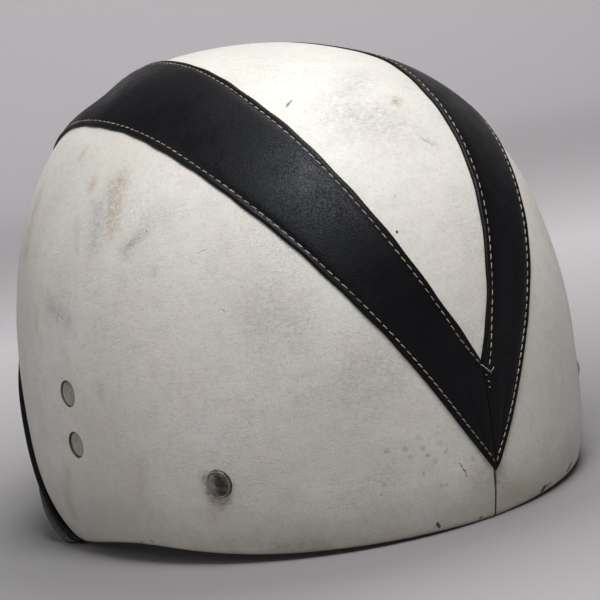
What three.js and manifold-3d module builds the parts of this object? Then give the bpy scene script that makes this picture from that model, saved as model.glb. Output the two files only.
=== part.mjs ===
// Open-face motorcycle helmet of about 1960s pattern: a hard shell dressed in white leather panels,
// with two black leather stripes that run back from the brow and meet in a V at the nape.
// Millimetres. Built about the middle of the head: +X the wearer's left, +Y the nape, +Z the crown.
// At the end the whole helmet is tipped and lifted so that it stands on its own rim.

import * as THREE from 'three';
import Module from 'manifold-3d';

const wasm = await Module();
wasm.setup();

// Outside of the white leather: a rounded dome with its own length to the front, rear, top and bottom
const dome = { halfWidth: 118.8, rear: 158.4, front: 126.8, up: 162.4, down: 90.6, plan: 2.08, side: 2.52 };

// How the finished helmet stands: tipped back on the nape and both cheeks, lifted to the floor
const seat = { tiltDegrees: 6.4, lift: 45.95, shift: -22.7 };

const leather = { thick: 1.4, stripeProud: 0.9, foldLeg: 5, legEase: 0.2 };
const shellThick = 3;
const layerGap = 0.5; // between one layer and the next
const touchGap = 0.3; // between pieces that touch
const foldRadius = leather.thick + layerGap + shellThick / 2; // the leather's turn round the shell's edge
const padThick = 14;
const seamGap = 0.3;
const edgeMargin = 0.2; // degrees left open beside a stripe
const wedgeReach = { near: 60, far: 240 }; // cutters run from inside the lining to outside the leather

// Mesh fineness: columns on each side, rows from crown to rim with a narrow last one, steps in the fold
const mesh = { columns: 23, rows: 7, lastRow: 0.05, foldSteps: 4, stripeSteps: 24 };

const cheek = { azimuth: 106, spread: 10, extra: 1.4 }; // columns stand closer together here

// Height of the edge at each azimuth, from the middle of the nape round to the middle of the brow
const rim = [
  { azimuth: 0, height: -30.2 },
  { azimuth: 12, height: -29.7 },
  { azimuth: 24, height: -30.5 },
  { azimuth: 36, height: -31.8 },
  { azimuth: 48, height: -32.6 },
  { azimuth: 60, height: -32.8 },
  { azimuth: 68, height: -34 },
  { azimuth: 76, height: -36.9 },
  { azimuth: 85, height: -41.3 },
  { azimuth: 93, height: -45 },
  { azimuth: 99, height: -45.5 },
  { azimuth: 104, height: -40.4 },
  { azimuth: 108, height: -30 },
  { azimuth: 112, height: -14 },
  { azimuth: 116, height: 4 },
  { azimuth: 119.5, height: 22 },
  { azimuth: 125, height: 37 },
  { azimuth: 133, height: 48 },
  { azimuth: 143, height: 57 },
  { azimuth: 155, height: 63 },
  { azimuth: 168, height: 67 },
  { azimuth: 180, height: 68 },
];

// Stripe edges: along is the angle over the crown from nape to brow, across is the angle to the side
const stripeOuter = [
  { along: -3, across: 0 },
  { along: 5, across: 4.9 },
  { along: 15, across: 10.3 },
  { along: 25, across: 15.3 },
  { along: 35, across: 19.7 },
  { along: 45, across: 23.3 },
  { along: 55, across: 25.9 },
  { along: 65, across: 27.4 },
  { along: 80, across: 28.1 },
  { along: 95, across: 27.8 },
  { along: 110, across: 26.4 },
  { along: 130, across: 24.2 },
  { along: 150, across: 22 },
  { along: 170, across: 20 },
];
const stripeInner = [
  { along: 14, across: 0 },
  { along: 18.3, across: 1.8 },
  { along: 25, across: 4.5 },
  { along: 35, across: 7.8 },
  { along: 45, across: 10.4 },
  { along: 55, across: 11.9 },
  { along: 65, across: 12.6 },
  { along: 75, across: 12.3 },
  { along: 85, across: 11.2 },
  { along: 95, across: 9.9 },
  { along: 110, across: 8.4 },
  { along: 130, across: 7.2 },
  { along: 150, across: 6.3 },
  { along: 170, across: 5.7 },
];
// The right stripe lies this many degrees further out over the crown than the left one
const rightLean = { most: 3, from: 45, full: 78, fade: 110, to: 150 };

// End of the padded lining in section: beyond is out past the rim, out is proud of the leather.
// The lip columns hold where the roll swells out in front of the cheek.
const liningEnd = [
  { beyond: -10, out: -7.5, lipBeyond: -10, lipOut: -7.5 },
  { beyond: -6, out: -7.7, lipBeyond: -3, lipOut: -7.9 },
  { beyond: -4, out: -8.4, lipBeyond: 1.2, lipOut: -7.0 },
  { beyond: -2.6, out: -9.8, lipBeyond: 2.6, lipOut: -4.0 },
  { beyond: -1.9, out: -11.4, lipBeyond: 2.6, lipOut: -0.5 },
  { beyond: -1.6, out: -13.0, lipBeyond: 2.6, lipOut: 3.0 },
  { beyond: -1.5, out: -14.5, lipBeyond: 3.6, lipOut: 5.0 },
  { beyond: -1.6, out: -16.0, lipBeyond: 5.2, lipOut: 5.0 },
  { beyond: -1.9, out: -17.6, lipBeyond: 6.4, lipOut: 3.0 },
  { beyond: -2.6, out: -19.2, lipBeyond: 6.8, lipOut: -1.0 },
  { beyond: -4, out: -20.6, lipBeyond: 5.8, lipOut: -8.0 },
  { beyond: -6, out: -21.3, lipBeyond: 2.0, lipOut: -16.0 },
  { beyond: -10, out: -21.5, lipBeyond: -10, lipOut: -21.5 },
];
const lip = { from: 93, full: 103, fade: 105.5, to: 124 }; // azimuths of the cheek roll

// Black piping along the face opening, from one cheek over the brow to the other
const piping = {
  radius: 1.6,
  endShare: 0.45,
  sides: 8,
  from: 97, // azimuth of each end
  cheekAngle: 50, // degrees round the fold, where the piping lies
  browAngle: 24,
  turnFrom: 117, // azimuths between which it goes from one to the other
  turnTo: 124,
};

// Metal: seats on the left side, mirrored on the right
const strapRivets = [
  { name: 'upper', at: [117.7, 13.4, 31.4] },
  { name: 'lower', at: [118.3, 15.3, 8.7] },
];
const rearStudAt = [95.5, 97.6, 1.4];
const rivet = { radius: 5.9, hole: 6.2, sink: 0.8, crown: 0.2, bevel: 0.3, reach: 5, sides: 16 };
const studProfile = [
  { radius: 0, out: 2.8 },
  { radius: 1.5, out: 2.7 },
  { radius: 2.8, out: 2.35 },
  { radius: 3.9, out: 1.7 },
  { radius: 4.3, out: 1.5 },
  { radius: 4.7, out: 1.6 },
  { radius: 5.3, out: 1.5 },
  { radius: 5.8, out: 1.1 },
  { radius: 6.1, out: 0.5 },
  { radius: 6.15, out: 0.1 },
  { radius: 6.15, out: -2.5 },
  { radius: 0, out: -2.5 },
];

const radians = THREE.MathUtils.degToRad;
const crown = new THREE.Vector3(0, 0, 1);

// Value of the dome's formula: 1 on the leather, less inside
function domeLevel(p) {
  const length = p.y > 0 ? dome.rear : dome.front;
  const height = p.z > 0 ? dome.up : dome.down;
  const plan = Math.abs(p.x / dome.halfWidth) ** dome.plan + Math.abs(p.y / length) ** dome.plan;
  return plan ** (dome.side / dome.plan) + Math.abs(p.z / height) ** dome.side;
}

function normalAt(p) {
  const step = 0.05;
  const slope = [0, 1, 2].map((axis) => {
    const ahead = p.clone().setComponent(axis, p.getComponent(axis) + step);
    const behind = p.clone().setComponent(axis, p.getComponent(axis) - step);
    return domeLevel(ahead) - domeLevel(behind);
  });
  return new THREE.Vector3(...slope).normalize();
}

// The point in the direction of p that lies this deep under the leather's outside
function skin(p, depth = 0) {
  const direction = p.clone().normalize();
  const onDome = direction.multiplyScalar(domeLevel(direction) ** (-1 / dome.side));
  return onDome.addScaledVector(normalAt(onDome), -depth);
}

function ringPoint(azimuth, height) {
  const angle = radians(azimuth);
  const length = Math.cos(angle) > 0 ? dome.rear : dome.front;
  const tall = height > 0 ? dome.up : dome.down;
  const level = (1 - Math.abs(height / tall) ** dome.side) ** (1 / dome.side);
  const reach = Math.abs(Math.sin(angle) / dome.halfWidth) ** dome.plan
    + Math.abs(Math.cos(angle) / length) ** dome.plan;
  const radius = level / reach ** (1 / dome.plan);
  return new THREE.Vector3(radius * Math.sin(angle), radius * Math.cos(angle), height);
}

const rimCurve = new THREE.SplineCurve(rim.map((row) => new THREE.Vector2(row.azimuth, row.height)));

function rimPoint(t) {
  const { x, y } = rimCurve.getPoint(THREE.MathUtils.clamp(t, 0, 1));
  return ringPoint(x, y);
}

// Frames along the rim from nape to brow, closer together round the cheek
function rimStations(count) {
  const samples = 600;
  const reach = [0];
  for (let i = 1; i <= samples; i += 1) {
    const azimuth = rimCurve.getPoint(i / samples).x;
    const density = 1 + cheek.extra * Math.exp(-(((azimuth - cheek.azimuth) / cheek.spread) ** 2));
    const length = rimPoint(i / samples).distanceTo(rimPoint((i - 1) / samples));
    reach.push(reach[i - 1] + length * density);
  }
  const stations = [];
  for (let j = 0; j <= count; j += 1) {
    const goal = (reach[samples] * j) / count;
    const i = Math.max(1, reach.findIndex((value) => value >= goal - 1e-9));
    const t = j === 0 ? 0 : (i - 1 + (goal - reach[i - 1]) / (reach[i] - reach[i - 1])) / samples;
    stations.push(rimFrame(t, j === 0 || j === count));
  }
  return stations;
}

function rimFrame(t, onMiddle) {
  const point = rimPoint(t);
  const step = 0.002;
  const tangent = onMiddle
    ? new THREE.Vector3(t < 0.5 ? 1 : -1, 0, 0)
    : rimPoint(t + step).sub(rimPoint(t - step)).normalize();
  const out = normalAt(point);
  const inward = tangent.clone().cross(out).normalize(); // along the dome, away from the edge
  return { azimuth: rimCurve.getPoint(t).x, point, tangent, out, inward };
}

// The stations of both sides in one closed round, the right side mirrored
function wholeRim(stations) {
  const mirrored = stations.slice(1, -1).reverse().map((frame) => {
    const flip = (v) => new THREE.Vector3(-v.x, v.y, v.z);
    return {
      azimuth: frame.azimuth,
      point: flip(frame.point),
      tangent: flip(frame.tangent).negate(),
      out: flip(frame.out),
      inward: flip(frame.inward),
    };
  });
  return [...stations, ...mirrored];
}

const leftStations = rimStations(mesh.columns);
const stations = wholeRim(leftStations);

// Place in a rim frame: beyond is past the edge, out is proud of the leather
function atEdge(frame, beyond, out) {
  return frame.point.clone().addScaledVector(frame.inward, -beyond).addScaledVector(frame.out, out);
}

// Points from the crown down to a start near the edge, at a depth that may change per row
function rows(frame, start, depthAt) {
  const from = atEdge(frame, -start, 0).normalize();
  const angle = from.angleTo(crown);
  const axis = crown.clone().cross(from).normalize();
  const shares = Array.from({ length: mesh.rows }, (_, k) => k / mesh.rows);
  shares.push(1 - mesh.lastRow / angle, 1);
  return shares.map((share) => skin(crown.clone().applyAxisAngle(axis, angle * share), depthAt(share)));
}

// Part of a circle round the shell's edge, from the outside of the leather towards the inside
function turn(frame, radius, fromDegrees, toDegrees, steps) {
  const points = [];
  for (let k = 1; k <= steps; k += 1) {
    const angle = radians(fromDegrees + ((toDegrees - fromDegrees) * k) / steps);
    const beyond = radius * Math.sin(angle) - foldRadius;
    const out = radius * Math.cos(angle) - foldRadius;
    points.push(atEdge(frame, beyond, out));
  }
  return points;
}

// Closed solid from two sheets of points with the same columns and rows
function wall(outer, inner, cyclic = true) {
  const columns = outer.length;
  const last = outer[0].length - 1;
  const triangles = [];
  const quad = (a, b, c, d) => triangles.push([a, b, c], [a, c, d]);
  const spans = cyclic ? columns : columns - 1;
  for (let c = 0; c < spans; c += 1) {
    const n = (c + 1) % columns;
    for (let k = 0; k < last; k += 1) {
      quad(outer[c][k], outer[c][k + 1], outer[n][k + 1], outer[n][k]);
      quad(inner[c][k], inner[n][k], inner[n][k + 1], inner[c][k + 1]);
    }
    quad(outer[c][0], outer[n][0], inner[n][0], inner[c][0]);
    quad(outer[c][last], inner[c][last], inner[n][last], outer[n][last]);
  }
  if (!cyclic) {
    for (let k = 0; k < last; k += 1) {
      quad(outer[0][k], inner[0][k], inner[0][k + 1], outer[0][k + 1]);
      const e = columns - 1;
      quad(outer[e][k], outer[e][k + 1], inner[e][k + 1], inner[e][k]);
    }
  }
  return solidFrom(triangles);
}

// Welds triangles of points into a solid with its faces pointing out
function solidFrom(triangles) {
  const places = new Map();
  const vertices = [];
  const indices = [];
  const indexOf = (p) => {
    const key = p.toArray().map((value) => Math.round(value * 1e4)).join();
    if (!places.has(key)) {
      places.set(key, vertices.length / 3);
      vertices.push(p.x, p.y, p.z);
    }
    return places.get(key);
  };
  let volume = 0;
  for (const [a, b, c] of triangles) {
    const corner = [indexOf(a), indexOf(b), indexOf(c)];
    if (new Set(corner).size < 3) continue;
    volume += a.dot(b.clone().cross(c));
    indices.push(corner);
  }
  const facing = volume < 0 ? indices.map(([a, b, c]) => [a, c, b]) : indices;
  return new wasm.Manifold(new wasm.Mesh({
    numProp: 3,
    vertProperties: new Float32Array(vertices),
    triVerts: new Uint32Array(facing.flat()),
  }));
}

// A three.js geometry, placed by a matrix, as a solid
function solidOf(geometry, matrix) {
  const placed = geometry.index ? geometry.toNonIndexed() : geometry.clone();
  placed.applyMatrix4(matrix);
  const position = placed.getAttribute('position');
  const triangles = [];
  for (let i = 0; i < position.count; i += 3) {
    triangles.push([0, 1, 2].map((k) => new THREE.Vector3().fromBufferAttribute(position, i + k)));
  }
  return solidFrom(triangles);
}

// Leather wall over the whole dome, turned round the shell's edge
function leatherWall(proud) {
  const legRow = (frame, depth) => skin(atEdge(frame, -foldRadius - leather.foldLeg, 0), depth);
  const outer = stations.map((frame) => [
    ...rows(frame, foldRadius, (down) => (down < 1 ? -proud : 0)),
    ...turn(frame, foldRadius, 0, 180, mesh.foldSteps),
    legRow(frame, 2 * foldRadius + leather.legEase),
  ]);
  const inner = stations.map((frame) => [
    ...rows(frame, foldRadius, () => leather.thick),
    ...turn(frame, foldRadius - leather.thick, 0, 180, mesh.foldSteps),
    legRow(frame, 2 * foldRadius + leather.legEase - leather.thick),
  ]);
  return wall(outer, inner);
}

function hardShell() {
  const top = leather.thick + layerGap;
  const half = shellThick / 2;
  const outer = stations.map((frame) => [
    ...rows(frame, foldRadius, () => top),
    ...turn(frame, half, 0, 90, 2),
  ]);
  const inner = stations.map((frame) => [
    ...rows(frame, foldRadius, () => top + shellThick),
    ...turn(frame, half, 180, 90, 2),
  ]);
  return wall(outer, inner);
}

function lipShare(azimuth) {
  const rise = THREE.MathUtils.smoothstep(azimuth, lip.from, lip.full);
  return rise - THREE.MathUtils.smoothstep(azimuth, lip.fade, lip.to);
}

// Padded wall inside the shell, ending in a rounded edge that swells into a roll at each cheek
function paddedLining() {
  const start = -liningEnd[0].beyond;
  const outside = -liningEnd[0].out;
  const middle = (liningEnd.length - 1) / 2;
  const endPoint = (frame, row) => {
    const share = lipShare(frame.azimuth);
    const beyond = THREE.MathUtils.lerp(row.beyond, row.lipBeyond, share);
    return atEdge(frame, beyond, THREE.MathUtils.lerp(row.out, row.lipOut, share));
  };
  const outer = stations.map((frame) => [
    ...rows(frame, start, () => outside),
    ...liningEnd.slice(1, middle + 1).map((row) => endPoint(frame, row)),
  ]);
  const inner = stations.map((frame) => [
    ...rows(frame, start, () => outside + padThick),
    ...liningEnd.slice(middle, -1).reverse().map((row) => endPoint(frame, row)),
  ]);
  return wall(outer, inner);
}

// Everything inside a depth, used to cut the undersides of metal that sits on the dome
function solidDome(depth) {
  const outer = stations.map((frame) => rows(frame, foldRadius, () => depth));
  const middle = new THREE.Vector3(0, 0, 0);
  return wall(outer, outer.map((column) => column.map(() => middle)));
}

// Direction from the head's middle at an angle along the crown and an angle to the side
function direction(along, across) {
  const flat = Math.cos(radians(across));
  return new THREE.Vector3(
    Math.sin(radians(across)),
    flat * Math.cos(radians(along)),
    flat * Math.sin(radians(along)),
  );
}

function leanAt(along) {
  const grown = THREE.MathUtils.smoothstep(along, rightLean.from, rightLean.full);
  const gone = THREE.MathUtils.smoothstep(along, rightLean.fade, rightLean.to);
  return rightLean.most * (grown - gone);
}

// Wedge from near the head's middle out through the dome, inside one pair of stripe edges
function wedge(table, margin) {
  const curve = new THREE.SplineCurve(table.map((row) => new THREE.Vector2(row.along, row.across)));
  const outer = [];
  const inner = [];
  for (let i = 0; i <= mesh.stripeSteps; i += 1) {
    const { x, y } = curve.getPoint(i / mesh.stripeSteps);
    const along = i === 0 ? x - margin : x;
    const sides = [direction(along, -(y + margin + leanAt(x))), direction(along, y + margin)];
    outer.push(sides.map((side) => side.clone().multiplyScalar(wedgeReach.far)));
    inner.push(sides.map((side) => side.clone().multiplyScalar(wedgeReach.near)));
  }
  return wall(outer, inner, false);
}

// The wearer's left (side 1) or right (side -1) half of space, short of the middle by half a seam
function halfSpace(side) {
  const size = 600;
  const middle = side * (size / 2 + seamGap / 2);
  return solidOf(new THREE.BoxGeometry(size, size, size), new THREE.Matrix4().setPosition(middle, 0, 0));
}

// Turned metal about the dome's normal at a seat; the profile's rows give radius and height
function turned(profile, seatPoint, sides) {
  const points = profile.map((row) => new THREE.Vector2(row.radius, row.out));
  const out = normalAt(seatPoint);
  const spin = new THREE.Quaternion().setFromUnitVectors(new THREE.Vector3(0, 1, 0), out);
  const matrix = new THREE.Matrix4().compose(seatPoint, spin, new THREE.Vector3(1, 1, 1));
  return solidOf(new THREE.LatheGeometry(points, sides), matrix);
}

// Profile of a round hole's cutter
function plug(radius, reach) {
  return [
    { radius: 0, out: reach },
    { radius, out: reach },
    { radius, out: -reach },
    { radius: 0, out: -reach },
  ];
}

function rivetProfile() {
  const top = -rivet.sink;
  return [
    { radius: 0, out: top + rivet.crown },
    { radius: rivet.radius * 0.6, out: top + rivet.crown * 0.7 },
    { radius: rivet.radius - rivet.bevel, out: top },
    { radius: rivet.radius, out: top - rivet.bevel },
    { radius: rivet.radius, out: -rivet.reach },
    { radius: 0, out: -rivet.reach },
  ];
}

function pipingBead() {
  const path = [
    ...leftStations.filter((frame) => frame.azimuth > piping.from),
    ...stations.slice(leftStations.length).filter((frame) => frame.azimuth > piping.from),
  ];
  const reach = foldRadius + touchGap + piping.radius;
  const ringPlace = (frame, radius, angle) => {
    const share = THREE.MathUtils.smoothstep(frame.azimuth, piping.turnFrom, piping.turnTo);
    const seatAngle = radians(THREE.MathUtils.lerp(piping.cheekAngle, piping.browAngle, share));
    const beyond = reach * Math.cos(seatAngle) - foldRadius + radius * Math.cos(angle);
    return atEdge(frame, beyond, reach * Math.sin(seatAngle) - foldRadius + radius * Math.sin(angle));
  };
  const rings = path.map((frame, i) => {
    const atEnd = i === 0 || i === path.length - 1;
    const radius = piping.radius * (atEnd ? piping.endShare : 1);
    const ring = [];
    for (let k = 0; k <= piping.sides; k += 1) {
      ring.push(ringPlace(frame, radius, (2 * Math.PI * k) / piping.sides));
    }
    return ring;
  });
  const ends = [path[0], path[path.length - 1]].map((frame) => ringPlace(frame, 0, 0));
  return tube(rings, ends[0], ends[1]);
}

// Closed tube through rings of points, with a middle point for each end
function tube(rings, firstMiddle, lastMiddle) {
  const triangles = [];
  for (let i = 0; i < rings.length - 1; i += 1) {
    for (let k = 0; k < rings[i].length - 1; k += 1) {
      triangles.push([rings[i][k], rings[i + 1][k], rings[i + 1][k + 1]]);
      triangles.push([rings[i][k], rings[i + 1][k + 1], rings[i][k + 1]]);
    }
  }
  const end = rings.length - 1;
  for (let k = 0; k < rings[0].length - 1; k += 1) {
    triangles.push([firstMiddle, rings[0][k], rings[0][k + 1]]);
    triangles.push([lastMiddle, rings[end][k + 1], rings[end][k]]);
  }
  return solidFrom(triangles);
}

const paint = {
  whiteLeather: { color: 0xcfcabd, roughness: 0.55, metalness: 0 },
  blackLeather: { color: 0x17171a, roughness: 0.5, metalness: 0 },
  shell: { color: 0x8a8578, roughness: 0.6, metalness: 0 },
  lining: { color: 0x4a4b4e, roughness: 0.7, metalness: 0 },
  nickel: { color: 0x8f8a82, roughness: 0.45, metalness: 0.8 },
};

const helmet = new THREE.Group();

function add(name, solid, look) {
  const result = solid.getMesh();
  const geometry = new THREE.BufferGeometry();
  const count = result.vertProperties.length / result.numProp;
  const position = new Float32Array(count * 3);
  for (let i = 0; i < count; i += 1) {
    for (let k = 0; k < 3; k += 1) position[i * 3 + k] = result.vertProperties[i * result.numProp + k];
  }
  geometry.setAttribute('position', new THREE.BufferAttribute(position, 3));
  geometry.setIndex(new THREE.BufferAttribute(new Uint32Array(result.triVerts), 1));
  geometry.computeVertexNormals();
  const piece = new THREE.Mesh(geometry, new THREE.MeshStandardMaterial(look));
  piece.name = name;
  helmet.add(piece);
}

// Shell and lining
add('shell', hardShell(), paint.shell);
add('lining', paddedLining(), paint.lining);

// Leather panels, cut from one wall by the stripes' edges and the rear seam
const cover = leatherWall(0);
const stripes = leatherWall(leather.stripeProud);
const insideStripes = wedge(stripeOuter, 0);
const besideStripes = wedge(stripeOuter, edgeMargin);
const gore = wedge(stripeInner, 0);
const besideGore = wedge(stripeInner, edgeMargin);
const sides = [
  { name: 'left', sign: 1 },
  { name: 'right', sign: -1 },
];
add('cover_crown', cover.intersect(gore), paint.whiteLeather);
const shellFace = solidDome(leather.thick + layerGap - touchGap);
const leatherFace = solidDome(-touchGap);
for (const { name, sign } of sides) {
  const half = halfSpace(sign);
  const seats = strapRivets.map((row) => ({
    name: row.name,
    at: skin(new THREE.Vector3(sign * row.at[0], row.at[1], row.at[2])),
  }));
  let panel = cover.subtract(besideStripes).intersect(half);
  for (const { at } of seats) panel = panel.subtract(turned(plug(rivet.hole, rivet.reach), at, rivet.sides));
  add(`cover_${name}`, panel, paint.whiteLeather);
  const stripe = stripes.intersect(insideStripes).subtract(besideGore).intersect(half);
  add(`stripe_${name}`, stripe, paint.blackLeather);
  for (const row of seats) {
    const head = turned(rivetProfile(), row.at, rivet.sides).subtract(shellFace);
    add(`strap_rivet_${name}_${row.name}`, head, paint.nickel);
  }
  const studSeat = skin(new THREE.Vector3(sign * rearStudAt[0], rearStudAt[1], rearStudAt[2]));
  const stud = turned(studProfile, studSeat, rivet.sides).subtract(leatherFace);
  add(`rear_stud_${name}`, stud, paint.nickel);
}
add('edge_piping', pipingBead(), paint.blackLeather);

helmet.rotation.x = -radians(seat.tiltDegrees);
helmet.position.set(0, seat.shift, seat.lift);

const group = new THREE.Group();
group.add(helmet);

export default group;
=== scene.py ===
import math
import random

import bmesh
import bpy
import numpy as np
from mathutils import Matrix, Vector, noise


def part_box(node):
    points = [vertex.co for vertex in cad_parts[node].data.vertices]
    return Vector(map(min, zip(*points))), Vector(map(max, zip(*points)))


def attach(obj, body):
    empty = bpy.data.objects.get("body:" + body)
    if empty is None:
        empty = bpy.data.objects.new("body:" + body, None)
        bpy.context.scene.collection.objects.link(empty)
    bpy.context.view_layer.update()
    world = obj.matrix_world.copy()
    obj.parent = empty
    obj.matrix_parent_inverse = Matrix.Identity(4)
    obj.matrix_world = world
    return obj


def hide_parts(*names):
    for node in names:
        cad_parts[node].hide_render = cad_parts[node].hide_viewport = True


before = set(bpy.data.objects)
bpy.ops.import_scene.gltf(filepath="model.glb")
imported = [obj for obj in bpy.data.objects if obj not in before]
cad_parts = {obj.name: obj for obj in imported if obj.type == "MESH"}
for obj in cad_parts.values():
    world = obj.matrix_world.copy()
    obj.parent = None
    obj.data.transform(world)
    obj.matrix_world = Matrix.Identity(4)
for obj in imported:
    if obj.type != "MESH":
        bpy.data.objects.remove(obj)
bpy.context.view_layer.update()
print("frame loaded,", len(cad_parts), "nodes")

# The dome's outside in mm about the middle of the head: +X the wearer's left, +Y the nape, +Z the crown
dome = {
    "halfWidth": 118.8,
    "rear": 158.4,
    "front": 126.8,
    "up": 162.4,
    "down": 90.6,
    "plan": 2.08,  # roundness seen from above
    "side": 2.52,  # roundness seen from the side
}
seat = {"tilt": 6.4, "lift": 45.95, "shift": -22.7}  # degrees and mm, how it stands on its rim

# Height of the rim at each azimuth, from the middle of the nape to the middle of the brow
rimTable = [
    (0, -30.2), (12, -29.7), (24, -30.5), (36, -31.8), (48, -32.6), (60, -32.8), (68, -34.0), (76, -36.9),
    (85, -41.3), (93, -45.0), (99, -45.5), (104, -40.4), (108, -30), (112, -14), (116, 4), (119.5, 22),
    (125, 37), (133, 48), (143, 57), (155, 63), (168, 67), (180, 68),
]

# Stripe edges: the angle along the crown from the nape, and the angle out to the side
stripeOuter = [
    (-3, 0), (5, 4.9), (15, 10.3), (25, 15.3), (35, 19.6), (45, 23.05), (55, 25.55), (65, 27.1), (80, 28),
    (95, 27.8), (110, 26.4), (130, 24.2), (150, 22), (170, 20),
]
stripeInner = [
    (14, 0), (18.3, 1.9), (25, 4.7), (35, 8.1), (45, 10.5), (55, 12), (65, 12.6), (75, 12.15), (85, 11.05),
    (95, 9.9), (110, 8.4), (130, 7.2), (150, 6.3), (170, 5.7),
]
# How far out the right stripe leans over the crown, and how far in its edges lie low down, in degrees
rightInnerOut = {"most": 3.3, "from": 56, "full": 82, "fade": 110, "to": 150}
rightOuterOut = {"most": 3.3, "from": 36, "full": 92, "fade": 106, "to": 150}
rightOuterIn = {"most": 0.8, "from": -3, "full": 16, "fade": 38, "to": 70}
rightInnerIn = {"most": 0.5, "from": 17, "full": 28, "fade": 44, "to": 62}


# Smooth line through the rows of a table
def smoothLine(rows, perSpan=16):
    ends = np.array([rows[0], *rows, rows[-1]], float)
    w = np.linspace(0, 1, perSpan, endpoint=False)[:, None]
    spans = []
    for a, b, c, d in zip(ends, ends[1:], ends[2:], ends[3:]):
        pull = (c - a) / 2
        push = (d - b) / 2
        cubic = (2 * b - 2 * c + pull + push) * w**3
        square = (3 * c - 3 * b - 2 * pull - push) * w**2
        spans.append(cubic + square + pull * w + b)
    return np.vstack([*spans, ends[-1:]])


rimLine = smoothLine(rimTable)
outerLine = smoothLine(stripeOuter)
innerLine = smoothLine(stripeInner)


def rimHeight(azimuth):
    turned = np.abs(azimuth)
    return np.interp(np.where(turned > 180, 360 - turned, turned), rimLine[:, 0], rimLine[:, 1])


def smoothStep(value, low, high):
    t = np.clip((value - low) / (high - low), 0, 1)
    return t * t * (3 - 2 * t)


# A value that grows, stays and fades again along the crown
def swell(along, shape):
    grown = smoothStep(along, shape["from"], shape["full"])
    gone = smoothStep(along, shape["fade"], shape["to"])
    return shape["most"] * (grown - gone)


# The right stripe (side -1) isn't sewn quite like the left one
def outerAcross(along, side):
    lean = swell(along, rightOuterOut) - swell(along, rightOuterIn)
    return np.interp(along, outerLine[:, 0], outerLine[:, 1]) + lean * (side < 0)


def innerAcross(along, side):
    lean = swell(along, rightInnerOut) - swell(along, rightInnerIn)
    return np.interp(along, innerLine[:, 0], innerLine[:, 1], left=0.0) + lean * (side < 0)


# Value of the dome's formula: 1 on the leather, less inside
def domeLevel(points):
    x, y, z = points[..., 0], points[..., 1], points[..., 2]
    length = np.where(y > 0, dome["rear"], dome["front"])
    height = np.where(z > 0, dome["up"], dome["down"])
    plan = np.abs(x / dome["halfWidth"]) ** dome["plan"] + np.abs(y / length) ** dome["plan"]
    return plan ** (dome["side"] / dome["plan"]) + np.abs(z / height) ** dome["side"]


def unit(vectors):
    return vectors / np.linalg.norm(vectors, axis=-1, keepdims=True)


def normalsAt(points):
    step = 0.05
    slopes = [domeLevel(points + step * axis) - domeLevel(points - step * axis) for axis in np.eye(3)]
    return unit(np.stack(slopes, -1))


# Points of the dome in the directions of these, lifted off the leather by this many mm
def skin(points, lift=0.0):
    rays = unit(points)
    onDome = rays * (domeLevel(rays) ** (-1 / dome["side"]))[..., None]
    return onDome + normalsAt(onDome) * np.asarray(lift, float)[..., None]


def ringPoint(azimuth, height):
    angle = np.radians(azimuth)
    length = np.where(np.cos(angle) > 0, dome["rear"], dome["front"])
    tall = np.where(np.asarray(height) > 0, dome["up"], dome["down"])
    level = (1 - np.abs(height / tall) ** dome["side"]) ** (1 / dome["side"])
    reach = np.abs(np.sin(angle) / dome["halfWidth"]) ** dome["plan"]
    reach = reach + np.abs(np.cos(angle) / length) ** dome["plan"]
    radius = level / reach ** (1 / dome["plan"])
    return np.stack([radius * np.sin(angle), radius * np.cos(angle), height + 0 * angle], -1)


def direction(along, across):
    a, b = np.radians(along), np.radians(across)
    return np.stack([np.sin(b), np.cos(b) * np.cos(a), np.cos(b) * np.sin(a)], -1)


def azimuthOf(points):
    return np.degrees(np.arctan2(points[..., 0], points[..., 1]))


tiltCos = math.cos(math.radians(seat["tilt"]))
tiltSin = math.sin(math.radians(seat["tilt"]))


# From mm about the head's middle to metres in the row frame
def toFrame(points):
    x, y, z = points[..., 0], points[..., 1], points[..., 2]
    back = y * tiltCos + z * tiltSin + seat["shift"]
    return np.stack([x, back, z * tiltCos - y * tiltSin + seat["lift"]], -1) / 1000


def fromFrame(point):
    x, y, z = np.array(point) * 1000 - np.array([0, seat["shift"], seat["lift"]])
    return np.array([x, y * tiltCos - z * tiltSin, y * tiltSin + z * tiltCos])


# Point, outward and inward directions of the rim at each azimuth
def rimFrames(azimuth):
    step = 0.1
    point, after, before = (ringPoint(a, rimHeight(a)) for a in (azimuth, azimuth + step, azimuth - step))
    out = normalsAt(point)
    return {"point": point, "out": out, "inward": unit(np.cross(after - before, out))}


# Place in a rim frame: beyond is past the edge, out is proud of the leather
def atEdge(rim, beyond, out):
    beyond = np.asarray(beyond, float)[..., None]
    out = np.asarray(out, float)[..., None]
    return rim["point"] - rim["inward"] * beyond + rim["out"] * out


fold = {"radius": 3.4, "steps": 14, "leg": 5.0, "ease": 0.2}  # mm, leather turned round the shell's edge
leatherThick = 1.4


# The leather's turn round the edge and its leg inside, for leather lifted by this much
def foldRows(rim, lift):
    radius = fold["radius"] + lift
    rows = []
    for k in range(1, fold["steps"] + 1):
        angle = math.pi * k / fold["steps"]
        beyond = radius * math.sin(angle) - fold["radius"]
        rows.append(atEdge(rim, beyond, radius * math.cos(angle) - fold["radius"]))
    for share in (0.5, 1.0):
        base = atEdge(rim, -fold["radius"] - fold["leg"] * share, 0)
        rows.append(skin(base, -(2 * fold["radius"] + lift + fold["ease"] * share)))
    return np.stack(rows, -2)


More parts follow.
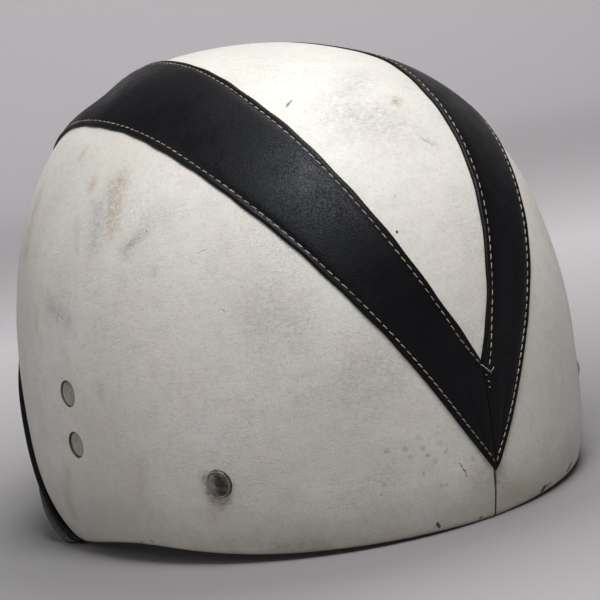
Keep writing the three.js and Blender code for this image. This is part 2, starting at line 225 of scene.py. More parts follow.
# Rows over the dome between two lines of points
def domeRows(first, last, shares, lift=0.0):
    a = unit(first)[:, None, :]
    b = unit(last)[:, None, :]
    angle = np.arccos(np.clip((a * b).sum(-1, keepdims=True), -1, 1)) + 1e-6
    s = np.asarray(shares)[None, :, None]
    return skin((np.sin((1 - s) * angle) * a + np.sin(s * angle) * b) / np.sin(angle), lift)


def mirrored(points, side):
    return points * np.array([side, 1, 1])


# Distance run along a line of points, and the points at given distances
def runAlong(points):
    steps = np.linalg.norm(np.diff(points, axis=0), axis=1)
    return np.concatenate([[0], np.cumsum(steps)])


def pointsAt(distance, run, line):
    return np.stack([np.interp(distance, run, line[:, k]) for k in range(3)], -1)


def addObject(name, data):
    made = bpy.data.objects.new(name, data)
    bpy.context.scene.collection.objects.link(made)
    return made


def meshPiece(name, places, faces):
    mesh = bpy.data.meshes.new(name)
    mesh.from_pydata(places, [], faces)
    return addObject(name, mesh)


# Faces of a grid of points, columns by rows, numbered from start
def gridFaces(columns, rows, start=0, roundColumns=False, capEnds=False):
    index = (start + np.arange(columns * rows)).reshape(columns, rows).tolist()
    faces = []
    for c in range(columns if roundColumns else columns - 1):
        a, b = index[c], index[(c + 1) % columns]
        faces.extend((a[k], b[k], b[k + 1], a[k + 1]) for k in range(rows - 1))
    if capEnds:
        faces.append([column[0] for column in index])
        faces.append([column[-1] for column in index[::-1]])
    return faces


# Give a piece's mesh to functions that work on it
def reshape(piece, *works):
    bm = bmesh.new()
    bm.from_mesh(piece.data)
    for work in works:
        work(bm)
    bm.to_mesh(piece.data)
    bm.free()


weldReach = 2e-6  # metres


def weld(bm):
    bmesh.ops.remove_doubles(bm, verts=bm.verts, dist=weldReach)
    bmesh.ops.dissolve_degenerate(bm, edges=bm.edges, dist=weldReach)


def fillHoles(bm):
    bmesh.ops.holes_fill(bm, edges=[e for e in bm.edges if e.is_boundary])


def faceOutwards(bm):
    bmesh.ops.recalc_face_normals(bm, faces=bm.faces)


# Object from a grid of mm points, columns by rows, with named values kept at its points
def gridPiece(name, grid, attributes=None, roundColumns=False, capEnds=False):
    places = toFrame(grid.reshape(-1, 3))
    places[:, 2] = np.maximum(places[:, 2], 0)  # it rests on the floor, not under it
    piece = meshPiece(name, places.tolist(), gridFaces(*grid.shape[:2], 0, roundColumns, capEnds))
    for key, values in (attributes or {}).items():
        layer = piece.data.attributes.new(key, "FLOAT", "POINT")
        layer.data.foreach_set("value", np.asarray(values, np.float32).ravel())
    reshape(piece, weld)
    return piece


# A closed wall or cord, from a grid whose columns run round it
def closedPiece(name, grid, attributes=None, capEnds=False):
    piece = gridPiece(name, grid, attributes, True, capEnds)
    reshape(piece, fillHoles, faceOutwards)
    return piece


def finishPiece(piece, material, slot, *nodes):
    piece.data.materials.append(material)
    piece.data.shade_smooth()
    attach(piece, "root")
    if nodes:
        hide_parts(*nodes)


def thicken(piece, thickness):
    wall = piece.modifiers.new("leather thickness", "SOLIDIFY")
    wall.thickness = thickness / 1000
    wall.offset = -1


# Where the leather has settled, high on the right: degrees along and across, reach and depth in mm
settled = {"at": (84, -16), "reach": 32, "deep": 1.0}


def settleAt(points):
    away = np.linalg.norm(points - skin(direction(*settled["at"])), axis=-1)
    return -settled["deep"] * np.exp(-((away / settled["reach"]) ** 2))


seedStep = 17.3  # how far the noise moves on for each seed
calmEdge = 0.125  # share of the way to a turned edge over which lumps fade


# Uneven surface: mm of rise at mm points, from rows of the lumps' size in mm, height in mm and seed
def lumps(points, *rows):
    rise = np.zeros(points.shape[:-1])
    for size, height, seed in rows:
        values = [noise.noise(Vector(p)) for p in points.reshape(-1, 3) / size + seed * seedStep]
        rise += height * np.array(values).reshape(rise.shape)
    return rise


def calmed(share):
    return np.clip((1 - share) / calmEdge, 0, 1)


# Feed a socket with a value, a colour or another node's output
def plug(tree, socket, source):
    if isinstance(source, bpy.types.NodeSocket):
        tree.links.new(source, socket)
    elif socket.type == "RGBA":
        socket.default_value = (*source, 1)
    else:
        socket.default_value = source


def addNode(tree, kind, inputs=None, **settings):
    made = tree.nodes.new("ShaderNode" + kind)
    for key, value in settings.items():
        setattr(made, key, value)
    for key, source in (inputs or {}).items():
        plug(tree, made.inputs[key], source)
    return made


def newMaterial(name, settings):
    material = bpy.data.materials.new(name)
    material.use_nodes = True
    tree = material.node_tree
    shader = tree.nodes["Principled BSDF"]
    for key, value in settings.items():
        plug(tree, shader.inputs[key], value)
    return material, tree, shader, addNode(tree, "TexCoord").outputs["Object"]


def noiseFac(tree, coords, scale, detail, rough, distort=0.0):
    inputs = {"Vector": coords, "Scale": scale, "Detail": detail, "Roughness": rough, "Distortion": distort}
    return addNode(tree, "TexNoise", inputs).outputs["Fac"]


def remap(tree, source, low, high, toLow=0.0, toHigh=1.0):
    inputs = {"Value": source, "From Min": low, "From Max": high, "To Min": toLow, "To Max": toHigh}
    return addNode(tree, "MapRange", inputs).outputs["Result"]


# Noise (scale, detail, roughness) cut at two levels and spread over a range of values
def mask(tree, coords, grain, levels, values=(0.0, 1.0)):
    return remap(tree, noiseFac(tree, coords, *grain), *levels, *values)


def combine(tree, how, a, b):
    return addNode(tree, "Math", {0: a, 1: b}, operation=how).outputs[0]


def blendColour(tree, factor, a, b, how="MIX"):
    return addNode(tree, "Mix", {0: factor, 6: a, 7: b}, data_type="RGBA", blend_type=how).outputs[2]


def attributeFac(tree, name):
    return addNode(tree, "Attribute", attribute_name=name).outputs["Fac"]


# Sums with vectors: the result is a vector, or a number for a distance, a length or a product
def vectorMath(tree, how, a, b=None, output="Vector"):
    inputs = {0: a} if b is None else {0: a, "Scale" if how == "SCALE" else 1: b}
    return addNode(tree, "VectorMath", inputs, operation=how).outputs[output]


# Coordinates that wander about their place by this many metres
def warped(tree, coords, scale, reach):
    drift = addNode(tree, "TexNoise", {"Vector": coords, "Scale": scale, "Detail": 2.0}).outputs["Color"]
    centred = vectorMath(tree, "SUBTRACT", drift, (0.5, 0.5, 0.5))
    return vectorMath(tree, "ADD", coords, vectorMath(tree, "SCALE", centred, reach))


# Distance to the nearest line of a net of cracks that wander
def cracks(tree, coords, scale, wanderScale, wanderReach):
    inputs = {"Vector": warped(tree, coords, wanderScale, wanderReach), "Scale": scale}
    return addNode(tree, "TexVoronoi", inputs, feature="DISTANCE_TO_EDGE").outputs["Distance"]


# Colour, layers of bump (a height, a distance in metres and a strength) and roughness of a shader
def dress(tree, shader, colour, layers, roughness=None):
    plug(tree, shader.inputs["Base Color"], colour)
    if roughness is not None:
        plug(tree, shader.inputs["Roughness"], roughness)
    normal = {}
    for height, distance, strength in layers:
        inputs = {"Height": height, "Distance": distance, "Strength": strength, **normal}
        normal = {"Normal": addNode(tree, "Bump", inputs).outputs["Normal"]}
    plug(tree, shader.inputs["Normal"], normal["Normal"])


# 1 on a mark, 0 past its reach in mm
def nearness(tree, distance, reach):
    return remap(tree, distance, reach / 1000, reach * 0.5 / 1000)


def nearSpot(tree, coords, azimuth, height, radius):
    centre = toFrame(skin(ringPoint(azimuth, height)))
    return nearness(tree, vectorMath(tree, "DISTANCE", coords, tuple(centre), "Value"), radius)


def nearStroke(tree, coords, first, last, width):
    start, end = (toFrame(skin(ringPoint(*place))) for place in (first, last))
    span = end - start
    away = vectorMath(tree, "SUBTRACT", coords, tuple(start))
    share = vectorMath(tree, "DOT_PRODUCT", away, tuple(span / (span @ span)), "Value")
    reached = vectorMath(tree, "SCALE", tuple(span), remap(tree, share, 0, 1))
    return nearness(tree, vectorMath(tree, "DISTANCE", away, reached, "Value"), width)


# Smudges and scuffs: from one place to another (azimuth, height), width in mm, amount
smudges = {
    "rust": [
        ((68, 123), (67.5, 104), 5, 0.55), ((79.4, 121), (79.4, 119), 2.5, 0.7),
        ((91.6, 132), (91.6, 129), 2.2, 0.5), ((110, 112), (109, 86), 5, 0.4),
        ((54, 88.7), (54, 88), 2, 0.45), ((71, 37), (71, 34), 2, 0.5), ((61.6, 6), (62.9, -8), 4, 0.25),
        ((88.5, -6), (92.3, -26), 4, 0.4), ((-2.4, -16.7), (-4, -20), 5, 0.3),
        ((46.4, -12), (46.6, -16), 2.5, 0.2), ((-9.6, 140.6), (-8.4, 139.8), 2.4, 0.9),
        ((-80, 70), (-81, 55), 4, 0.35), ((-47, -12), (-47, -18), 3, 0.25),
    ],
    "grime": [
        ((73.6, 112), (73.2, 98), 6, 0.4), ((71.4, 119), (70.6, 108), 5, 0.35),
        ((62.4, 95.5), (57.5, 103), 3.4, 0.5), ((57, 106), (52, 110), 7, 0.2),
        ((89.6, 68.7), (82, 64), 4.5, 0.4), ((82.2, 107), (79.5, 93), 1.6, 0.3),
        ((96.6, 66), (96.5, 55), 1.4, 0.35), ((6, 139), (0, 135), 17, 0.36), ((2, 146), (-7, 150), 9, 0.3),
        ((-6, 126), (-8, 123), 2, 0.4), ((19.3, 39.9), (16, 45), 17, 0.3), ((32, 70), (28, 66), 14, 0.3),
        ((3, -8), (1, -12), 6, 0.35), ((-1.4, -9), (-0.6, -13), 3, 0.5), ((36, -27), (28, -27), 4, 0.35),
        ((-66, 92), (-74, 84), 9, 0.3), ((-44, 20), (-38, 14), 12, 0.22),
    ],
    "olive": [
        ((47.3, 5), (47.0, -3.4), 1.6, 0.75), ((46.4, -5.4), (43.4, -6.2), 1.8, 0.75),
        ((45.8, -7.2), (44.4, -8.6), 2.0, 0.35),
    ],
}

# Small dark dots: azimuth, height, radius in mm, how dark
dots = [
    (16.9, 11.2, 1.5, 0.4), (14.2, 10.8, 1.7, 0.34), (11.6, 9.8, 1.5, 0.36), (10.9, 6.3, 1.3, 0.4),
    (13.5, 7.0, 1.5, 0.22), (9.8, 3.1, 1.4, 0.3), (12.0, 14.6, 1.6, 0.16), (8.8, 10.2, 1.6, 0.22),
    (8.0, 6.1, 1.4, 0.22), (16.1, 6.6, 1.3, 0.16), (11.8, -1.0, 1.4, 0.3), (3.7, -0.3, 1.6, 0.2),
    (9.4, -7.6, 1.2, 0.28), (8.4, -8.1, 1.3, 0.25), (18.6, -7.0, 0.8, 0.6), (2.8, -27.0, 1.1, 0.8),
    (63.0, -29.4, 1.0, 0.5), (6.3, 108.6, 0.7, 0.4), (56.6, 104.0, 0.7, 0.8),
]


# How strongly each kind of smudge lies on mm points, from 0 to 1
def smudgeValues(points, kind):
    total = np.zeros(points.shape[:-1])
    for first, last, width, amount in smudges[kind]:
        start = skin(ringPoint(*first))
        span = skin(ringPoint(*last)) - start
        share = np.clip(((points - start) @ span) / (span @ span + 1e-9), 0, 1)
        away = np.linalg.norm(points - start - share[..., None] * span, axis=-1)
        total = np.maximum(total, amount * np.exp(-((away / width) ** 2)))
    return total


# Short dark strokes, nicks in the rim and a crack: from, to (azimuth, height), width in mm, how dark
strokes = [
    ((6.15, -0.2), (5.75, -1.6), 0.34, 0.95), ((5.75, -1.6), (5.35, -4.2), 0.42, 0.95),
    ((5.35, -4.2), (4.95, -7.3), 0.26, 0.9), ((10.85, -25.9), (10.35, -24.2), 0.4, 0.75),
    ((10.35, -24.2), (9.95, -26.0), 0.85, 0.95), ((-10.6, -26.7), (-11.1, -25.7), 1.4, 0.98),
    ((-11.1, -25.9), (-13.1, -25.4), 0.6, 0.85), ((-19.5, -26.4), (-21.6, -24.6), 1.1, 0.9),
    ((66.2, -31.4), (66.8, -32.8), 0.8, 0.9), ((54.2, -31.2), (55.2, -32.4), 0.6, 0.75),
    ((8.42, 95.75), (8.36, 95.5), 0.8, 1.0), ((19.6, 145.8), (18.9, 146.4), 0.85, 0.8),
    ((18.9, 146.4), (17.9, 147.2), 0.6, 0.75), ((-6.2, 125.5), (-7.4, 122.8), 0.6, 0.35),
    ((43.9, 95.8), (42.2, 97.0), 0.35, 0.3), ((40.9, 74.4), (39.6, 73.2), 0.3, 0.5),
]

whiteLook = {
    "shader": {"Specular IOR Level": 0.36},
    "clean": (0.72, 0.705, 0.675),
    "aged": (0.635, 0.62, 0.58),
    "mottled": (0.50, 0.485, 0.44),
    "specked": (0.40, 0.38, 0.34),
    "greenish": (0.97, 1.0, 0.96),
    "pinkish": (1.0, 0.96, 0.945),
    "tinted": 0.75,
    "yellowed": (0.60, 0.55, 0.43),
    "cracked": (0.30, 0.29, 0.27),
    "rust": (0.36, 0.26, 0.14),
    "olive": (0.19, 0.165, 0.06),
    "grime": (0.19, 0.185, 0.18),
    "smudgeMost": 0.9,
    "worn": (0.52, 0.37, 0.30),
    "dot": (0.055, 0.042, 0.038),
    # colour of the painted shade in the rear seam's gap and round the rivet holes
    "seamAndHoleShade": (0.035, 0.025, 0.02),
    "wander": (500, 0.0013),  # scale and reach of the dots' and strokes' unevenness
    "smearing": {"Rotation": (0.5, 0.3, 0.9), "Scale": (1, 1, 1.7)},
    "crackle": (640, 260, 0.0022),  # the net's scale, then the scale and reach of its wandering
    "crackleLine": (0.09, 0.0, 0.0, 0.4),
    "crackleEdge": (0.0, 0.14),
    "wrinkling": {"Scale": (90, 90, 260)},  # drawn out sideways, so that wrinkles lie mostly level
    "wrinkles": (1.0, 4, 0.6, 0.6),
    "grain": (900, 3, 0.6),
    "bump": {"wrinkles": (0.0005, 0.3), "crackle": (0.0001, 0.35), "grain": (0.0001, 0.3)},
    # scale, detail and roughness, the two levels the noise is cut at, and the values it gives
    "noise": {
        "patches": ((15, 3, 0.5), (0.35, 0.68)),
        "mottle": ((150, 6, 0.72), (0.44, 0.74), (0.0, 0.4)),
        "specks": ((680, 4, 0.75), (0.52, 0.74), (0.0, 0.5)),
        "cast": ((36, 5, 0.7), (0.40, 0.60)),
        "soil": ((48, 5, 0.66), (0.38, 0.64), (0.0, 0.65)),
        "crackled": ((24, 3, 0.6), (0.47, 0.66)),
        "smear": ((420, 6, 0.85, 0.6), (0.40, 0.62), (0.15, 1.4)),
        "edge": ((160, 4, 0.65), (0.34, 0.56), (0.3, 1.0)),
        "dotGrain": ((700, 4, 0.75), (0.38, 0.58), (0.35, 1.0)),
        "gloss": ((60, 4, 0.6), (0.3, 0.7), (0.40, 0.56)),
    },
}


def makeWhiteLeather():
    material, tree, shader, coords = newMaterial("aged white leather", whiteLook["shader"])
    smeared = addNode(tree, "Mapping", {"Vector": coords, **whiteLook["smearing"]}).outputs["Vector"]
    wrinkled = addNode(tree, "Mapping", {"Vector": coords, **whiteLook["wrinkling"]}).outputs["Vector"]
    wander = warped(tree, coords, *whiteLook["wander"])
    crackle = cracks(tree, coords, *whiteLook["crackle"])
    parts = {}
    for key, row in whiteLook["noise"].items():
        parts[key] = mask(tree, smeared if key == "smear" else coords, *row)

    def times(a, b):
        return combine(tree, "MULTIPLY", a, b)

    def lay(amount, over):
        return blendColour(tree, amount, colour, whiteLook[over])

    colour = blendColour(tree, parts["patches"], whiteLook["clean"], whiteLook["aged"])
    colour = lay(parts["mottle"], "mottled")
    colour = lay(parts["specks"], "specked")
    tint = blendColour(tree, parts["cast"], whiteLook["greenish"], whiteLook["pinkish"])
    colour = blendColour(tree, whiteLook["tinted"], colour, tint, "MULTIPLY")
    # yellowed and soiled towards the rim
    colour = lay(times(attributeFac(tree, "soil"), parts["soil"]), "yellowed")
    # fine crackle in patches
    crackleLine = remap(tree, crackle, *whiteLook["crackleLine"])
    colour = lay(times(crackleLine, parts["crackled"]), "cracked")
    # smudges lie in the grain, so they are broken up by it
    for kind in smudges:
        amount = times(attributeFac(tree, kind), parts["smear"])
        colour = lay(combine(tree, "MINIMUM", amount, whiteLook["smudgeMost"]), kind)
    # leather worn through along the turned edge
    colour = lay(times(attributeFac(tree, "worn"), parts["edge"]), "worn")
    for azimuth, height, radius, dark in dots:
        near = times(nearSpot(tree, wander, azimuth, height, radius), dark)
        colour = lay(times(near, parts["dotGrain"]), "dot")
    for first, last, width, dark in strokes:
        colour = lay(times(nearStroke(tree, wander, first, last, width), dark), "dot")
    # painted shade in the rear seam's gap and along the rivet holes' edges
    colour = lay(attributeFac(tree, "seam"), "seamAndHoleShade")
    bump = whiteLook["bump"]
    dress(tree, shader, colour, [
        (noiseFac(tree, wrinkled, *whiteLook["wrinkles"]), *bump["wrinkles"]),
        (remap(tree, crackle, *whiteLook["crackleEdge"]), *bump["crackle"]),
        (noiseFac(tree, coords, *whiteLook["grain"]), *bump["grain"]),
    ], parts["gloss"])
    return material


blackLook = {
    "shader": {"Specular IOR Level": 0.2, "Specular Tint": (0.86, 0.9, 1.0)},
    "dark": (0.0006, 0.0006, 0.0008),
    "dusty": (0.0022, 0.0021, 0.0028),
    "dust": ((70, 5, 0.65), (0.35, 0.75)),
    "gloss": ((95, 5, 0.65), (0.3, 0.7), (0.36, 0.5)),
    "dullCrease": 0.3,
    "pebbles": (850, 320, 0.0022),
    "pebbleEdge": (0.0, 0.16),
    "creases": (560, 190, 0.007),
    "creaseEdge": (0.10, 0.0),
    "creased": ((22, 3, 0.6), (0.42, 0.58), (0.25, 1.0)),
    "swells": (60, 4, 0.6),
    "pores": (1700, 2, 0.5),
    "bump": {
        "swells": (0.0006, 0.25),
        "creases": (0.0001, 0.3),
        "pebbles": (0.00006, 0.35),
        "pores": (0.00005, 0.3),
    },
}


def makeBlackLeather():
    material, tree, shader, coords = newMaterial("black grained leather", blackLook["shader"])
    creases = remap(tree, cracks(tree, coords, *blackLook["creases"]), *blackLook["creaseEdge"])
    creases = combine(tree, "MULTIPLY", creases, mask(tree, coords, *blackLook["creased"]))
    pebbles = remap(tree, cracks(tree, coords, *blackLook["pebbles"]), *blackLook["pebbleEdge"])
    colour = blendColour(tree, mask(tree, coords, *blackLook["dust"]), blackLook["dark"], blackLook["dusty"])
    dulled = combine(tree, "MULTIPLY", creases, blackLook["dullCrease"])
    gloss = combine(tree, "ADD", mask(tree, coords, *blackLook["gloss"]), dulled)
    bump = blackLook["bump"]
    dress(tree, shader, colour, [
        (noiseFac(tree, coords, *blackLook["swells"]), *bump["swells"]),
        (combine(tree, "SUBTRACT", 1.0, creases), *bump["creases"]),
        (pebbles, *bump["pebbles"]),
        (noiseFac(tree, coords, *blackLook["pores"]), *bump["pores"]),
    ], gloss)
    return material


# A material that wanders between two colours, with layers of bump from noise or from a net of cracks
def makePlain(name, row):
    material, tree, shader, coords = newMaterial(name, row["shader"])
    colour = blendColour(tree, mask(tree, coords, *row["tone"]), *row["colours"])
    layers = []
    for layer in row["layers"]:
        if "net" in layer:
            height = remap(tree, cracks(tree, coords, *layer["net"]), *layer["cut"])
        else:
            height = noiseFac(tree, coords, *layer["noise"])
        layers.append((height, *layer["bump"]))
    dress(tree, shader, colour, layers)
    return material


thread = {
    "shader": {"Roughness": 0.8, "Specular IOR Level": 0.25},
    "colours": ((0.47, 0.41, 0.31), (0.21, 0.155, 0.105)),
    "tone": ((190, 3, 0.6), (0.35, 0.65)),
    "layers": [{"noise": (2500, 2, 0.5), "bump": (0.0001, 0.6)}],
}
vinyl = {
    "shader": {"Roughness": 0.55, "Specular IOR Level": 0.35},
    "colours": ((0.050, 0.052, 0.056), (0.085, 0.087, 0.092)),
    "tone": ((35, 4, 0.6), (0.3, 0.7)),
    "layers": [
        {"noise": (55, 3, 0.6), "bump": (0.0012, 0.35)},
        {"net": (620, 300, 0.002), "cut": (0.0, 0.3), "bump": (0.00015, 0.6)},
    ],
}
resin = {
    "shader": {"Roughness": 0.55, "Specular IOR Level": 0.4},
    "colours": ((0.24, 0.21, 0.15), (0.38, 0.34, 0.26)),
    "tone": ((240, 3, 0.6), (0.0, 1.0)),
    "layers": [{"noise": (240, 3, 0.6), "bump": (0.0004, 0.5)}],
}
nickelLook = {
    "shader": {"Metallic": 0.85},
    "bright": (0.50, 0.48, 0.43),
    "tarnished": (0.29, 0.27, 0.22),
    # black: colour of the tarnish and of the painted shade and painted dark reflection
    "black": (0.05, 0.042, 0.038),
    "tarnish": ((240, 4, 0.6), (0.40, 0.75), (0.0, 0.7)),
    "dulled": ((400, 3, 0.6), (0.35, 0.6), (0.75, 1.0)),
    "roughness": (0.38, 0.55),
    "pits": (700, 3, 0.6),
    "bump": (0.00005, 0.3),
}


def makeNickel():
    material, tree, shader, coords = newMaterial("dull nickel", nickelLook["shader"])
    tarnished = mask(tree, coords, *nickelLook["tarnish"])
    colour = blendColour(tree, tarnished, nickelLook["bright"], nickelLook["tarnished"])
    dulled = mask(tree, coords, *nickelLook["dulled"])
    # the attribute darkens the metal for tarnish and for painted shade and a painted dark reflection
    dulled = combine(tree, "MULTIPLY", attributeFac(tree, "dullAndShade"), dulled)
    colour = blendColour(tree, dulled, colour, nickelLook["black"])
    gloss = remap(tree, tarnished, 0, 1, *nickelLook["roughness"])
    pits = noiseFac(tree, coords, *nickelLook["pits"])
    dress(tree, shader, colour, [(pits, *nickelLook["bump"])], gloss)
    return material


look = {
    "white": makeWhiteLeather(),
    "black": makeBlackLeather(),
    "thread": makePlain("beige thread", thread),
    "vinyl": makePlain("dark grey vinyl", vinyl),
    "resin": makePlain("resin and glass cloth", resin),
    "nickel": makeNickel(),
}
print("materials made")

# Side panels of white leather, from under the stripe down to the turned rim
sidePanel = {
    "columns": 232,
    "rows": 88,
    "measured": 900,  # points along its edges
    "tuck": 1.7,  # degrees hidden under the stripe
    "seamColumns": (0, 0.25, 0.5, 0.8, 1.2, 1.7, 2.4, 3.4, 4.8),  # mm from the rear seam
    # gap of the rear seam, wider about a height, its turn, and how far the painted shade in it reaches, in mm
    "seam": {"gap": 0.26, "atV": 0.4, "height": -10, "reach": 5, "turn": 2.5, "shade": 0.55},
    "lipLeft": ((0, -0.8), (0.2, -0.15), (0.5, 0.3), (0.95, 0.42), (1.6, 0.28), (2.8, 0.07), (4.2, 0)),
    "lipRight": ((0, -0.9), (0.25, -0.35), (0.6, -0.08), (1.4, 0), (4.2, 0)),
    "lipAtFoot": 0.15,
    "lumps": ((34, 0.35, 3), (9, 0.07, 3)),
}
# Wear along the turned edge, and soil above it: share of the turn, and mm
edgeWear = {"at": 0.27, "reach": 0.17, "soil": 24}
browSearch = {"low": 100.0, "high": 168.0, "halvings": 40}  # degrees along


# Where a line of angles over the crown comes to the start of the turned rim at the brow
def browCrossing(acrossAt):
    low, high = browSearch["low"], browSearch["high"]
    for _ in range(browSearch["halvings"]):
        middle = (low + high) / 2
        point = skin(direction(middle, acrossAt(middle)))
        if point[2] > rimHeight(azimuthOf(point)) + fold["radius"]:
            low = middle
        else:
            high = middle
    return low


# What the white leather's material needs at each point: wear, smudges and soil near the rim
def leatherValues(grid, rows):
    turn = np.linspace(0, 1, fold["steps"] + 3)[1:]
    worn = np.exp(-(((turn - edgeWear["at"]) / edgeWear["reach"]) ** 2))
    above = grid[..., 2] - rimHeight(azimuthOf(grid))
    values = {kind: smudgeValues(grid, kind) for kind in smudges}
    values["worn"] = np.broadcast_to(np.concatenate([np.zeros(rows), worn]), grid.shape[:2])
    values["soil"] = np.exp(-np.maximum(above, 0) / edgeWear["soil"])
    return values


def sidePanelGrid(side):
    def tucked(along):
        return outerAcross(along, side) - sidePanel["tuck"]

    rising = outerLine[: np.argmax(outerLine[:, 1])]
    start = float(np.interp(sidePanel["tuck"], rising[:, 1], rising[:, 0]))
    along = np.linspace(start, browCrossing(tucked), sidePanel["measured"])
    topLine = skin(direction(along, tucked(along)))
    azimuth = np.linspace(0, float(azimuthOf(topLine[-1])), sidePanel["measured"])
    rimRun = runAlong(ringPoint(azimuth, rimHeight(azimuth)))
    topRun = runAlong(topLine)
    atSeam = np.array(sidePanel["seamColumns"])
    rest = np.linspace(atSeam[-1], rimRun[-1], sidePanel["columns"] - len(atSeam) + 1)[1:]
    run = np.concatenate([atSeam, rest])
    top = pointsAt(run / rimRun[-1] * topRun[-1], topRun, topLine)
    rim = rimFrames(np.interp(run, rimRun, azimuth))
    foot = atEdge(rim, -fold["radius"], 0)
    foot[-1] = top[-1]
    shares = np.linspace(0, 1, sidePanel["rows"])
    flat = domeRows(top, foot, shares)
    # raised lip beside the rear seam, and the leather's own unevenness
    lip = np.array(sidePanel["lipLeft" if side > 0 else "lipRight"])
    inPlace = mirrored(flat, side)
    lift = np.interp(flat[..., 0], lip[:, 0], lip[:, 1]) + settleAt(inPlace)
    lift = lift + lumps(inPlace, *sidePanel["lumps"]) * calmed(shares)
    body = flat + normalsAt(flat) * lift[..., None]
    footLift = sidePanel["lipAtFoot"] * np.interp(foot[:, 0], lip[:, 0], lip[:, 1])
    grid = np.concatenate([body, foldRows(rim, footLift)], 1)
    seam = sidePanel["seam"]
    gap = seam["gap"] + seam["atV"] * np.exp(-(((grid[..., 2] - seam["height"]) / seam["reach"]) ** 2))
    grid[..., 0] += gap * np.exp(-grid[..., 0] / seam["turn"])
    return grid


# Round holes in the leather for the rivets, with a finer mesh about them, in mm; painted shade is laid along
# their edges
rivetHole = {
    "reach": 9.5,
    "radius": 5.8,
    "snap": 0.26,  # how near the edge a point is moved onto it
    "evened": 1.4,  # how far round the edge the mesh is evened
    "round": 0.25,
    "drop": 0.05,
    "cuts": 4,
    "shade": 0.9,
}


# The part of the way from a hole's middle to a place that lies across the hole
def spokeTo(place, centre, out):
    away = place - centre
    return away - out * away.dot(out)


def cutHoles(bm, seats):
    places = [(Vector(toFrame(c)), Vector(toFrame(c + n) - toFrame(c)).normalized()) for c, n in seats]
    reach, radius = rivetHole["reach"] / 1000, rivetHole["radius"] / 1000
    for c, n in places:
        near = [e for e in bm.edges if all((v.co - c).length < reach for v in e.verts)]
        bmesh.ops.subdivide_edges(bm, edges=near, cuts=rivetHole["cuts"], use_grid_fill=True)
    for c, n in places:
        spokes = {v: spokeTo(v.co, c, n) for v in bm.verts if (v.co - c).length < reach}
        for v, spoke in spokes.items():
            if abs(spoke.length - radius) < rivetHole["snap"] / 1000:
                v.co += spoke.normalized() * (radius - spoke.length)
        middles = [(f, f.calc_center_median()) for f in bm.faces if f.verts[0] in spokes]
        inside = [f for f, middle in middles if spokeTo(middle, c, n).length < radius]
        bmesh.ops.delete(bm, geom=inside, context="FACES")
        # painted shade along the hole's edge, kept in the seam attribute
        shaded = bm.verts.layers.float["seam"]
        for v in [v for v in bm.verts if v.is_boundary and (v.co - c).length < reach]:
            spoke = spokeTo(v.co, c, n)
            v.co += spoke.normalized() * (radius - spoke.length)
            v[shaded] = rivetHole["shade"]
        evened = radius + rivetHole["evened"] / 1000
        about = [v for v in bm.verts if not v.is_boundary and (v.co - c).length < evened]
        bmesh.ops.smooth_vert(bm, verts=about, factor=0.5, use_axis_x=True, use_axis_y=True, use_axis_z=True)
        for v in bm.verts:
            past = (spokeTo(v.co, c, n).length - radius) * 1000
            if (v.co - c).length < reach:
                v.co -= n * rivetHole["drop"] / 1000 * math.exp(-((max(past, 0) / rivetHole["round"]) ** 2))


# Seat of a piece of metal: the dome's point and normal nearest to its CAD node
def metalSeat(node):
    low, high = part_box(node)
    centre = skin(fromFrame((low + high) / 2))
    return centre, normalsAt(centre)


def makeSidePanel(name, side):
    grid = mirrored(sidePanelGrid(side), side)[::side]
    values = leatherValues(grid, sidePanel["rows"])
    # painted shade in the rear seam's gap, kept in the seam attribute
    values["seam"] = np.exp(-((np.abs(grid[..., 0]) / sidePanel["seam"]["shade"]) ** 4))
    piece = gridPiece(f"whitePanel_{name}", grid, values)
    seats = [metalSeat(f"strap_rivet_{name}_{place}") for place in ("upper", "lower")]
    reshape(piece, lambda bm: cutHoles(bm, seats))
    thicken(piece, leatherThick)
    finishPiece(piece, look["white"], "white_leather", f"cover_{name}")


# White leather between the stripes, from the crotch of the V to the brow: degrees along and across
crownPanel = {
    "columns": 44,
    "rows": 230,
    "from": 10.6,
    "tuck": 1.7,
    "tuckAtTip": 0.6,
    "tip": 4,
    "lumps": ((34, 0.3, 5), (9, 0.06, 6)),
}


def makeCrownPanel():
    start = crownPanel["from"]

    def acrossAt(along, share):
        opening = np.clip((along - start) / crownPanel["tip"], 0, 1)
        tuck = crownPanel["tuck"] * opening + crownPanel["tuckAtTip"] * (1 - opening)
        left = innerAcross(along, 1) + tuck
        right = -innerAcross(along, -1) - tuck
        return right + (left - right) * share

    shares = np.linspace(1, 0, crownPanel["columns"])
    ends = np.array([browCrossing(lambda along, s=s: acrossAt(along, s)) for s in shares])
    t = np.linspace(0, 1, crownPanel["rows"])
    along = start + (ends[:, None] - start) * t[None, :]
    flat = skin(direction(along, acrossAt(along, shares[:, None])))
    lift = lumps(flat, *crownPanel["lumps"]) * calmed(t) + settleAt(flat)
    body = flat + normalsAt(flat) * lift[..., None]
    rim = rimFrames(azimuthOf(flat[:, -1]))
    grid = np.concatenate([body, foldRows(rim, 0)], 1)
    piece = gridPiece("whitePanel_crown", grid, leatherValues(grid, crownPanel["rows"]))
    thicken(piece, leatherThick)
    finishPiece(piece, look["white"], "white_leather", "cover_crown")


makeSidePanel("left", 1)
makeSidePanel("right", -1)
makeCrownPanel()
print("white leather panels made")

